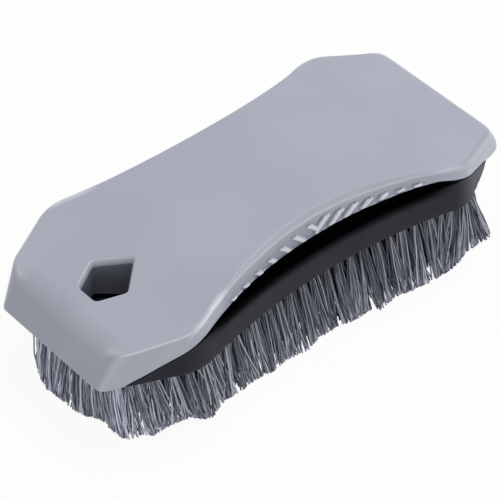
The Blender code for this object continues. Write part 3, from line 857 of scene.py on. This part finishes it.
# %% [markdown]
# A tuft is a bunch of stiff filaments pushed into one hole. Hair particles would be the usual
# way, but they are not a mesh. Here each filament is a thin five-sided tube: a root in the
# tuft's hole, a tip in a wider ring, a slight bow, and the small waves that the filament keeps
# from its spool. All the tubes of a row are worked out in one array. Towards the long sides the
# tufts fan out, by tables of (place, way out) pairs that follow the photograph's fringe.

# %% Where the tufts stand
ROW_COUNT = 31
TUFT_PITCH = 0.0044
FIELD_INSET = 0.0048
FIELD_END_HALF = 0.0205
SLEEVE_LIP = 0.0022
NEAR_FANS = (
    (-75.7, -0.4), (-72.8, 2.4), (-66.4, 1.5), (-55.9, -0.6), (-42.7, 2.4), (-24, 3.1), (-9.5, 4.4),
    (9.8, 6.4), (30.5, 5.8), (49.6, 5.4), (70.3, 8.8),
)
FAR_FANS = ((-65.6, 0.0), (-50, 1.0), (0, 3.0))
END_LEAN = 0.0048
END_POWER = 4
FIELD_REACH = RIM_REACH - SHELL_WALL - SEAT_GAP - SLEEVE_LIP - SEAT_GAP / 2
ROW_PITCH = 2 * FIELD_REACH / ROW_COUNT


def boss_half(start, end):
    """Half width of the hang hole's boss between two places along the brush, or 0."""
    plan = inset(HOLE_PLAN, -SLEEVE_LIP - SEAT_GAP)
    inside = (plan[:, 0] > start - SEAT_GAP) & (plan[:, 0] < end + SEAT_GAP)
    return np.abs(plan[inside, 1]).max() + SEAT_GAP if inside.any() else 0.0


def tuft_roots():
    """For each row node: where it stands along the brush, its outermost root and its roots."""
    halves = (BAND_WAIST - FIELD_INSET, WIDEST_HALF - FIELD_INSET, FIELD_END_HALF)
    field = full_plan(quarter_plan(FIELD_REACH, *halves))
    rows = []
    for i in range(ROW_COUNT):
        x = -FIELD_REACH + ROW_PITCH * (i + 0.5)
        half = float(half_width_at(field, x))
        gap = boss_half(x - ROW_PITCH / 2, x + ROW_PITCH / 2)
        low = gap + (FIELD_INSET - SLEEVE_LIP) / 2
        spans = {"_right": (-half, -low), "_left": (low, half)} if gap else {"": (-half, half)}
        for suffix, (start, end) in spans.items():
            count = max(2, round((end - start) / TUFT_PITCH) + 1)
            rows.append((f"{i + 1:02d}{suffix}", x, half, np.linspace(start, end, count)))
    return rows


TUFT_ROWS = tuft_roots()
print("row pieces:", len(TUFT_ROWS), "tufts:", sum(len(row[3]) for row in TUFT_ROWS))

# %% [markdown]
# Filaments of one tuft share a lean, and each adds its own. A few strays lean more, and tips end
# at uneven heights, as a trimmed tuft's do after some use. A brush is trimmed all round as well,
# so the tips are held to an outline, drawn after the photograph's fringe as (x, y) points. At
# three of the four corners the roots are drawn in. Every filament also carries two numbers, its
# own tone and how far along it a point lies, which the finish reads later.

# %% Filaments as thin tubes
FILAMENTS = 36
FILAMENT_RADIUS = 0.00026
TUBE_SIDES = 5
TUBE_RINGS = 10
RADIUS_SHARES = (0.8, 1.15)
HOLE_RADIUS = 0.0012
SPREAD = 2.0
SPLAY_SHARE = 0.25
ROOT_SINK = 0.001
LEAN_TUFT = 0.0012
LEAN_OWN = 0.001
LEAN_STRAY = 0.0013
STRAY_SHARE = 0.05
BOW = 0.0007
WAVE = 0.00014
WAVE_LENGTH = 0.0095
TIP_UNEVEN = 0.001
TIP_OUTLINE = (
    (-80.1, 8.1), (-79.8, 4.5), (-79.3, 0), (-79.3, -4.5), (-78.1, -9.3), (-76.4, -11.7),
    (-75.4, -15), (-75.6, -20), (-75.3, -23.5), (-73.8, -26), (-69.8, -26.8), (-67.3, -29.2),
    (-62.5, -29), (-54.3, -30.6), (-52, -33.6), (-48.7, -35.2), (-44, -33), (-41, -32.1),
    (-36.9, -33.2), (-31, -31.9), (-26.2, -32.2), (-22, -33), (-15.7, -31.7), (-7.1, -33.2),
    (-2, -31.3), (4.8, -31.4), (13.2, -33.2), (19.2, -32.9), (21.8, -35.2), (28.7, -33.9),
    (37.3, -35.7), (47.3, -36.6), (52.5, -36.9), (60.4, -34.6), (66.7, -33.8), (71.1, -34.4),
    (73, -33), (77.5, -22), (79.5, -8), (79.5, 10), (76, 24), (70, 34), (50, 37.8), (25, 34),
    (0, 33), (-25, 33.5), (-50, 36), (-64, 32), (-71, 24.5), (-76.7, 17),
)
FOLD = 0.12
FAN_MORE = 0.0026
FAR_PULLS = ((-75.7, 0.36), (-70.6, 0.15), (-65.6, 0.04), (65.6, 0.0), (70.6, 0.08), (75.7, 0.25))
NEAR_PULLS = ((-65.6, 0.0), (65.6, 0.02), (70.6, 0.1), (75.7, 0.3))
CORNER_PULL = 0.006
PULL_RISE = (0.06, 0.014)
SWEEP = 0.0016
SWEEP_RISE = (-0.065, 0.012)
BOX_MARGIN = 0.0003
SEED = 11
rng = np.random.default_rng(SEED)


def fan_out(x, y, half):
    """Where tips stand for roots at x, y: further out by the square of the way to the edge."""
    out = (np.abs(y) / half) ** 2
    tip_x = x + END_LEAN * np.sign(x) * (abs(x) / RIM_REACH) ** END_POWER * (1 - out)
    near = -read_at(x, NEAR_FANS) * MM - FAN_MORE
    tip_y = y + np.where(y < 0, near, read_at(x, FAR_FANS) * MM) * out
    return np.stack([tip_x, tip_y], 1)


def hold_in(tip):
    """Tips past the trimmed outline come back in: each keeps a small share of its excess."""
    x, y = np.array(TIP_OUTLINE).T * MM
    bearing = np.arctan2(tip[:, 1], tip[:, 0])
    most = np.interp(bearing, np.arctan2(y, x), np.hypot(x, y), period=2 * math.pi)
    reach = np.hypot(*tip.T)
    held = np.where(reach > most, most - (reach - most) * FOLD, reach)
    return tip * (held / reach)[:, None]


def filament_paths(x, half, roots):
    """Centre lines, shape (filament, ring, 3): a blend from root to tip plus a bow and a wave."""
    count = len(roots) * FILAMENTS
    tuft = np.repeat(np.arange(len(roots)), FILAMENTS)
    turn = rng.uniform(0, 2 * math.pi, count)
    reach = HOLE_RADIUS * np.sqrt(rng.uniform(0, 1, count))
    offset = np.stack([np.cos(turn), np.sin(turn)], 1) * reach[:, None]
    roots = roots * (1 - np.where(roots < 0, read_at(x, NEAR_PULLS), read_at(x, FAR_PULLS)))
    drawn = CORNER_PULL * rise(x, *PULL_RISE) * (np.abs(roots) / half) ** 2
    root = np.stack([x - drawn * (roots < 0), roots], 1)[tuft] + offset
    lean = rng.normal(0, LEAN_TUFT, (len(roots), 2))[tuft] + rng.normal(0, LEAN_OWN, (count, 2))
    stray = rng.uniform(0, 1, count) < STRAY_SHARE
    lean += stray[:, None] * rng.normal(0, LEAN_STRAY, (count, 2))
    tip = fan_out(x, roots, half)[tuft] + offset * SPREAD + lean
    tip[:, 0] += SWEEP * rise(x, *SWEEP_RISE)
    low = np.array(cad_low[:2]) + BOX_MARGIN
    high = np.array(cad_high[:2]) - BOX_MARGIN
    tip = np.clip(hold_in(tip), low, high)
    tip_z = TIP_UNEVEN * rng.uniform(0, 1, count) ** 2 + FILAMENT_RADIUS
    share = shares(TUBE_RINGS - 1)[None, :, None]
    flat = between(root[:, None], tip[:, None], between(share, share**2, SPLAY_SHARE))
    bow = rng.normal(0, BOW, (count, 1, 2)) * arch(share)
    z = between(TRIM_HEIGHT + ROOT_SINK, tip_z[:, None, None], share)
    phase = rng.uniform(0, 2 * math.pi, (count, 1, 2))
    wave = WAVE * np.sin(z * 2 * math.pi / WAVE_LENGTH + phase) * share
    flat = np.clip(flat + bow + wave, low, high)
    return np.concatenate([flat, z], -1), share


def filament_mesh(name, x, half, roots):
    """Tubes round the paths: each ring is the path's point plus a circle square to the path."""
    paths, share = filament_paths(x, half, roots)
    count = len(paths)
    radius = FILAMENT_RADIUS * rng.uniform(*RADIUS_SHARES, count)[:, None, None, None]
    step = unit(np.gradient(paths, axis=1))
    side = unit(np.cross(step, [0.0, 1.0, 0.0]))
    other = np.cross(step, side)
    turn = np.linspace(0, 2 * math.pi, TUBE_SIDES, endpoint=False)[None, None, :, None]
    circle = side[:, :, None] * np.cos(turn) + other[:, :, None] * np.sin(turn)
    points = paths[:, :, None] + circle * radius
    points[..., 2] = np.maximum(points[..., 2], 0.0)
    sides = grid_faces(TUBE_RINGS, TUBE_SIDES, True)
    centre = TUBE_RINGS * TUBE_SIDES
    first = np.arange(TUBE_SIDES)
    ends = [(first, centre), (first[::-1] + centre - TUBE_SIDES, centre + 1)]
    caps = [np.stack([edge, np.roll(edge, -1), first * 0 + c], 1) for edge, c in ends]
    triangles = np.concatenate([sides[:, [0, 1, 2]], sides[:, [0, 2, 3]], *caps])
    points_each = centre + len(ends)
    middles = points[:, [0, -1]].mean(2)
    flat = np.concatenate([points.reshape(count, -1, 3), middles], 1)
    faces = triangles[None] + (np.arange(count) * points_each)[:, None, None]
    mesh = mesh_from_faces(name, flat.reshape(-1, 3), faces.reshape(-1, 3))
    mesh.shade_smooth()
    tone = np.repeat(rng.uniform(0, 1, count), points_each)
    along = np.repeat(share[0], TUBE_SIDES)
    along = np.tile(np.concatenate([along, [0.0, 1.0]]), count)
    carry(mesh, tone=tone, along=along)
    return mesh


# %% [markdown]
# The finishes. Moulded plastic is never one flat colour: the steel of the mould leaves a fine
# matt grain, the surface varies a little where the melt flowed, and handling polishes it in
# places. Each finish is built from noise on object coordinates, so it stays put from any side.
# The marks that the meshes carry then add painted highlights and painted shade to the colour.

# %% Small helpers for node materials
FINE_DETAIL = 2.0
MORE_DETAIL = 4.0
MIX_FIRST = 6
MIX_SECOND = 7
MIX_RESULT = 2


def new_finish(name):
    """A material with its node tree and its shader."""
    material = bpy.data.materials.new(name)
    material.use_nodes = True
    tree = material.node_tree
    return material, tree, tree.nodes["Principled BSDF"]


def feed(tree, node, inputs):
    """Values or links for a node's inputs, each by its name or its number."""
    for label, value in inputs.items():
        socket = node.inputs[label]
        if isinstance(value, bpy.types.NodeSocket):
            tree.links.new(value, socket)
        else:
            socket.default_value = value


def add_node(tree, kind, inputs=(), **settings):
    """A node with some settings and with values or links on its inputs."""
    node = tree.nodes.new(kind)
    for label, value in settings.items():
        setattr(node, label, value)
    feed(tree, node, dict(inputs))
    return node


def object_place(tree):
    """The point's own place on the piece, in metres."""
    return add_node(tree, "ShaderNodeTexCoord").outputs["Object"]


def object_noise(tree, scale, detail=3.0, stretch=(1.0, 1.0, 1.0)):
    """Noise on object coordinates, with bumps of about 1/scale metres."""
    inputs = {"Vector": object_place(tree), "Scale": stretch}
    place = add_node(tree, "ShaderNodeMapping", inputs).outputs[0]
    inputs = {"Vector": place, "Scale": scale, "Detail": detail}
    return add_node(tree, "ShaderNodeTexNoise", inputs).outputs["Fac"]


def along_brush(tree, start, end):
    """A number that rises from 0 to 1 between two places along the brush."""
    x = add_node(tree, "ShaderNodeSeparateXYZ", {"Vector": object_place(tree)}).outputs["X"]
    inputs = {"Value": x, "From Min": start, "From Max": end}
    return add_node(tree, "ShaderNodeMapRange", inputs).outputs["Result"]


def ramp(tree, value, stops):
    """A colour ramp through (place, colour) stops."""
    node = add_node(tree, "ShaderNodeValToRGB", {"Fac": value})
    while len(node.color_ramp.elements) < len(stops):
        node.color_ramp.elements.new(0.5)
    for element, (at, colour) in zip(node.color_ramp.elements, stops):
        element.position = at
        element.color = (*colour, 1.0)
    return node.outputs["Color"]


def attribute(tree, label):
    """A number that the mesh carries at each point."""
    return add_node(tree, "ShaderNodeAttribute", attribute_name=label).outputs["Fac"]


def spread(tree, value, low, high):
    """The value, 0 to 1, mapped to a range."""
    inputs = {"Value": value, "To Min": low, "To Max": high}
    return add_node(tree, "ShaderNodeMapRange", inputs).outputs["Result"]


def mix(tree, share, first, second, way="MIX"):
    """Two colours mixed. Several sockets of this node share a name, so they go by number."""
    inputs = {0: share, MIX_FIRST: first, MIX_SECOND: second}
    node = add_node(tree, "ShaderNodeMix", inputs, data_type="RGBA", blend_type=way)
    return node.outputs[MIX_RESULT]


def towards(tree, share, first, second, most=1.0):
    """From the first colour towards a second one, by a share that is scaled to a most."""
    return mix(tree, spread(tree, share, 0.0, most), first, (*second, 1.0))


def grain(tree, scale, depth, strength):
    """A fine noise as a bump of a depth in metres, for a shader's normal."""
    height = object_noise(tree, scale, FINE_DETAIL)
    inputs = {"Height": height, "Distance": depth, "Strength": strength}
    return add_node(tree, "ShaderNodeBump", inputs).outputs["Normal"]


def dress(tree, shader, colour, rough, gloss, normal):
    """Gives a shader its colour, roughness, specular level and normal."""
    inputs = {"Base Color": colour, "Roughness": rough, "Specular IOR Level": gloss, "Normal": normal}
    feed(tree, shader, inputs)


# %% [markdown]
# The shell is light, cool grey polypropylene with a satin grain. Its colour drifts very little,
# its gloss a bit more, and a faint noise, drawn out along the brush, stands for the wipe marks of
# use. Ribs, edges and the hole's bevel are painted paler, as painted highlights. The grip band
# between the ribs and the inside of the hole are painted darker, as painted shade. Each mark has
# its colour and the most that it covers. Each grain is (scale, depth, strength).

# %% Shell finish
SHELL_SPECULAR = 0.42
SHELL_ROUGHNESS = (0.26, 0.38)
SHELL_DRIFT = 28.0
SHELL_WIPES = 90.0
WIPE_STRETCH = (1.0, 5.0, 1.0)
SHELL_GRAIN = (2600.0, 0.00004, 0.5)
SHELL_TONES = (
    (0.3, (0.366, 0.393, 0.467)), (0.5, (0.386, 0.413, 0.487)), (0.7, (0.406, 0.433, 0.507)),
)
SHELL_MARKS = (
    # Painted highlight on the ribs.
    ("on_rib", (0.7, 0.725, 0.79), 1.0),
    # Painted shade next to ribs, on the sunk band and on the far slants' edge.
    ("beside_rib", (0.13, 0.14, 0.175), 0.8),
    # Painted shade down the hole.
    ("in_hole", (0.2, 0.213, 0.255), 1.0),
    # Painted highlight on edges, corners, far walls, bevel and the waist line.
    ("on_edge", (0.72, 0.75, 0.82), 0.8),
)


def shell_finish():
    """Drifting grey, changed by the painted highlight and shade marks one after another, under wiped
    gloss and grain.
    """
    material, tree, shader = new_finish("shell_plastic")
    colour = ramp(tree, object_noise(tree, SHELL_DRIFT), SHELL_TONES)
    for label, marked, most in SHELL_MARKS:
        # Each mark mixes its painted highlight, or its painted shade, into the colour.
        colour = towards(tree, attribute(tree, label), colour, marked, most)
    wiped = object_noise(tree, SHELL_WIPES, MORE_DETAIL, WIPE_STRETCH)
    rough = spread(tree, wiped, *SHELL_ROUGHNESS)
    dress(tree, shader, colour, rough, SHELL_SPECULAR, grain(tree, *SHELL_GRAIN))
    return material


# %% [markdown]
# The block is black, with the same satin grain. Towards its far end its specular level rises and
# its colour is painted a lighter blue, a painted sheen. Its groove is painted darker than its
# band, as painted shade.

# %% Block finish
BLOCK_SPECULAR = 0.14
BLOCK_ROUGHNESS = (0.5, 0.62)
BLOCK_DRIFT = 60.0
BLOCK_GLOSS = 140.0
BLOCK_GRAIN = (2200.0, 0.00003, 0.4)
BLOCK_TONES = ((0.35, (0.013, 0.0145, 0.0205)), (0.7, (0.018, 0.0195, 0.026)))
GROOVE_COLOUR = (0.003, 0.003, 0.004)
GROOVE_SPECULAR = 0.01
SHEEN_COLOUR = (0.026, 0.031, 0.047)
SHEEN_SPECULAR = 0.85
SHEEN_FROM = 0.052
SHEEN_TO = 0.067


def block_finish():
    """Black, blended to the painted sheen along the brush and to the groove's painted shade by its mark.
    """
    material, tree, shader = new_finish("block_plastic")
    groove = attribute(tree, "in_groove")
    sheen = along_brush(tree, SHEEN_FROM, SHEEN_TO)
    colour = ramp(tree, object_noise(tree, BLOCK_DRIFT), BLOCK_TONES)
    # Painted sheen: a lighter blue towards the far end.
    colour = towards(tree, sheen, colour, SHEEN_COLOUR)
    # Painted shade: the groove is painted near black.
    colour = towards(tree, groove, colour, GROOVE_COLOUR)
    gloss = spread(tree, sheen, BLOCK_SPECULAR, SHEEN_SPECULAR)
    gloss = spread(tree, groove, gloss, GROOVE_SPECULAR)
    rough = spread(tree, object_noise(tree, BLOCK_GLOSS, MORE_DETAIL), *BLOCK_ROUGHNESS)
    dress(tree, shader, colour, rough, gloss, grain(tree, *BLOCK_GRAIN))
    return material


# %% [markdown]
# The filaments are nylon. Each has its own tone. The tips are a touch paler from use, and the
# roots are painted darker, as painted shade under the block. The tufts near the hang hole look
# paler than the rest, so their tone is raised there, as painted light.

# %% Filament finish
BRISTLE_SPECULAR = 0.22
BRISTLE_ROUGHNESS = (0.32, 0.5)
BRISTLE_GRAIN = (1500.0, 0.00002, 0.4)
BRISTLE_TONES = ((0.0, (0.05, 0.054, 0.072)), (0.55, (0.2, 0.212, 0.26)), (1.0, (0.52, 0.54, 0.62)))
# Painted shade at the roots, then plain, then a touch paler at the tips.
WEAR = ((0.0, (0.55, 0.55, 0.55)), (0.35, (0.9, 0.9, 0.9)), (1.0, (1.05, 1.05, 1.05)))
PALE_AT = -0.08
PLAIN_AT = -0.045
PALE_MORE = 1.9


def bristle_finish():
    """The filament's tone, times its painted root shade and paler tips, times the painted light along the
    brush.
    """
    material, tree, shader = new_finish("bristle_nylon")
    tone = attribute(tree, "tone")
    # Painted shade at the roots; the tips a touch paler from use.
    wear = ramp(tree, attribute(tree, "along"), WEAR)
    worn = mix(tree, 1.0, ramp(tree, tone, BRISTLE_TONES), wear, "MULTIPLY")
    # Painted light: the tufts near the hang hole are raised in tone.
    pale = spread(tree, along_brush(tree, PALE_AT, PLAIN_AT), PALE_MORE, 1.0)
    inputs = {0: worn, "Scale": pale}
    colour = add_node(tree, "ShaderNodeVectorMath", inputs, operation="SCALE").outputs[0]
    rough = spread(tree, tone, *BRISTLE_ROUGHNESS)
    dress(tree, shader, colour, rough, BRISTLE_SPECULAR, grain(tree, *BRISTLE_GRAIN))
    return material


# %% [markdown]
# With shapes and finishes ready, the pieces are placed: the shell, the block, and one piece of
# filaments for each row node. Each rides on the body, stands for its node and takes the plain
# solid's place.

# %% Place every piece
place("handle_shell_skin", build_shell(), shell_finish(), "shell_plastic", "handle_shell")
place("brush_block_body", build_block(), block_finish(), "block_plastic", "brush_block")
nylon = bristle_finish()
for label, row_x, row_half, row_roots in TUFT_ROWS:
    row_name = "filaments_" + label
    row_mesh = filament_mesh(row_name, row_x, row_half, row_roots)
    place(row_name, row_mesh, nylon, "bristle_nylon", "tuft_row_" + label)
print("filaments:", sum(len(row[3]) for row in TUFT_ROWS) * FILAMENTS)

# %% [markdown]
# The studio is a white floor in a white room, with four soft square lamps: a strong one high
# over the far end, weak low ones towards the near end and the long side, and a broad one behind.
# To the camera and in reflections the floor and the world look white. The floor still takes
# part of its tone from the light on it, so the brush keeps its shadow. Each lamp is (azimuth and
# elevation in degrees, distance and edge in metres, power in watts).

# %% Floor, lights and world
FLOOR_REACH = 3.0
FLOOR_COLOUR = (0.9, 0.9, 0.9, 1.0)
WHITE = (1.0, 1.0, 1.0, 1.0)
FLOOR_GLOW_SHARE = 0.93
WORLD_FILL = 0.4
LAMPS = {
    "key": (80, 75, 0.9, 0.42, 3.8),
    "left": (-60, 8, 0.9, 0.55, 0.5),
    "front": (0, 8, 0.9, 0.55, 1.8),
    "back": (180, 55, 1.0, 0.9, 0.8),
}


def camera_share(tree, low, high):
    """The high value where a ray comes from the camera or a mirror-like bounce, else the low."""
    path = add_node(tree, "ShaderNodeLightPath").outputs
    seen = path["Is Camera Ray"]
    for label in ("Is Glossy Ray", "Is Transmission Ray"):
        both = {0: seen, 1: path[label]}
        seen = add_node(tree, "ShaderNodeMath", both, operation="MAXIMUM").outputs[0]
    return spread(tree, seen, low, high)


def white_floor():
    """A wide plane, partly glowing to the camera and plainly white to the light."""
    corners = np.array([(-1, -1, 0), (1, -1, 0), (1, 1, 0), (-1, 1, 0)]) * FLOOR_REACH
    floor = add_object("floor", mesh_from_faces("floor", corners, np.array([[0, 1, 2, 3]])))
    material, tree, shader = new_finish("floor_white")
    feed(tree, shader, {"Base Color": FLOOR_COLOUR, "Roughness": 1.0})
    glow = add_node(tree, "ShaderNodeEmission", {"Color": WHITE, "Strength": 1.0})
    inputs = {0: camera_share(tree, 0.0, FLOOR_GLOW_SHARE), 1: shader.outputs[0], 2: glow.outputs[0]}
    mixed = add_node(tree, "ShaderNodeMixShader", inputs)
    feed(tree, tree.nodes["Material Output"], {"Surface": mixed.outputs[0]})
    floor.data.materials.append(material)


def white_world():
    """White to the camera, a softer even fill to everything else."""
    world = bpy.data.worlds.new("studio")
    world.use_nodes = True
    tree = world.node_tree
    inputs = {"Color": WHITE, "Strength": camera_share(tree, WORLD_FILL, 1.0)}
    feed(tree, tree.nodes["Background"], inputs)
    bpy.context.scene.world = world


def soft_light(name, azimuth, elevation, distance, edge, power):
    """A square area light that looks at the brush from a direction."""
    light = add_object(name, bpy.data.lights.new(name, "AREA"))
    away = direction(azimuth, elevation)
    light.location = away * distance
    light.rotation_euler = away.to_track_quat("Z", "Y").to_euler()
    light.data.size = edge
    light.data.energy = power


white_floor()
white_world()
for label, lamp in LAMPS.items():
    soft_light(label, *lamp)
bpy.context.scene.view_settings.view_transform = "Standard"
